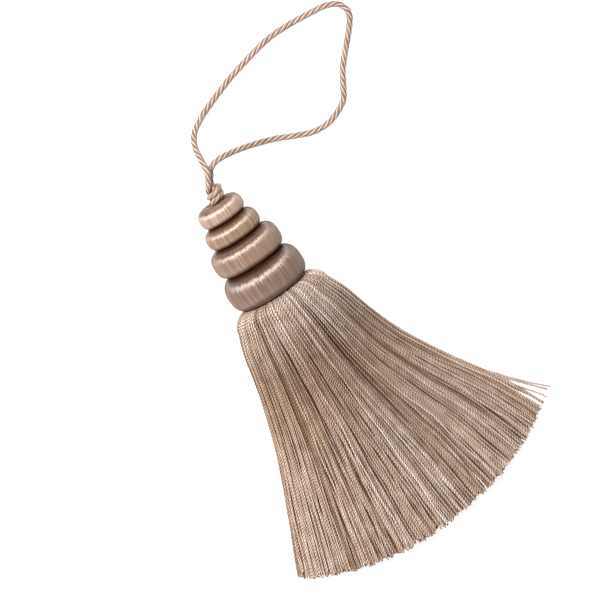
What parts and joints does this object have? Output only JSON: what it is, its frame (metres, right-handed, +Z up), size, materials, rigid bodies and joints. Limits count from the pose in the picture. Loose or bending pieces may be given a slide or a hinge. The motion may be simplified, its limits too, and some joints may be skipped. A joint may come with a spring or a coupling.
{
  "type": "key tassel",
  "caption": "Hanging tassel with a head of wound thread rings, a fanned skirt of cut twisted yarns and a looped twisted cord.",
  "frame": {"origin": "on the floor under the middle of the tassel as it lies flat, without the hanging cord", "axes": "+Y along the head's axis from the skirt towards the knot, +Z up from the floor it lies on, +X to the side where the cord's loop lies"},
  "size_m": [0.1258, 0.1819, 0.0307],
  "materials": {
    "skirt_yarn": "lustrous two-ply twisted yarns, mixed taupe, golden tan and silvery pink",
    "ring_1_thread": "silky wound thread, pale pink-beige",
    "ring_2_thread": "silky wound thread, golden beige",
    "ring_3_thread": "silky wound thread, mauve-beige",
    "ring_4_thread": "silky wound thread, taupe",
    "twisted_cord": "silky four-ply twist, taupe brown and pale pink"
  },
  "bodies": {
    "root": {"skirt": "skirt_yarn", "ring_1": "ring_1_thread", "ring_2": "ring_2_thread", "ring_3": "ring_3_thread", "ring_4": "ring_4_thread", "knot": "twisted_cord", "hanging_cord": "twisted_cord"}
  },
  "joints": []
}
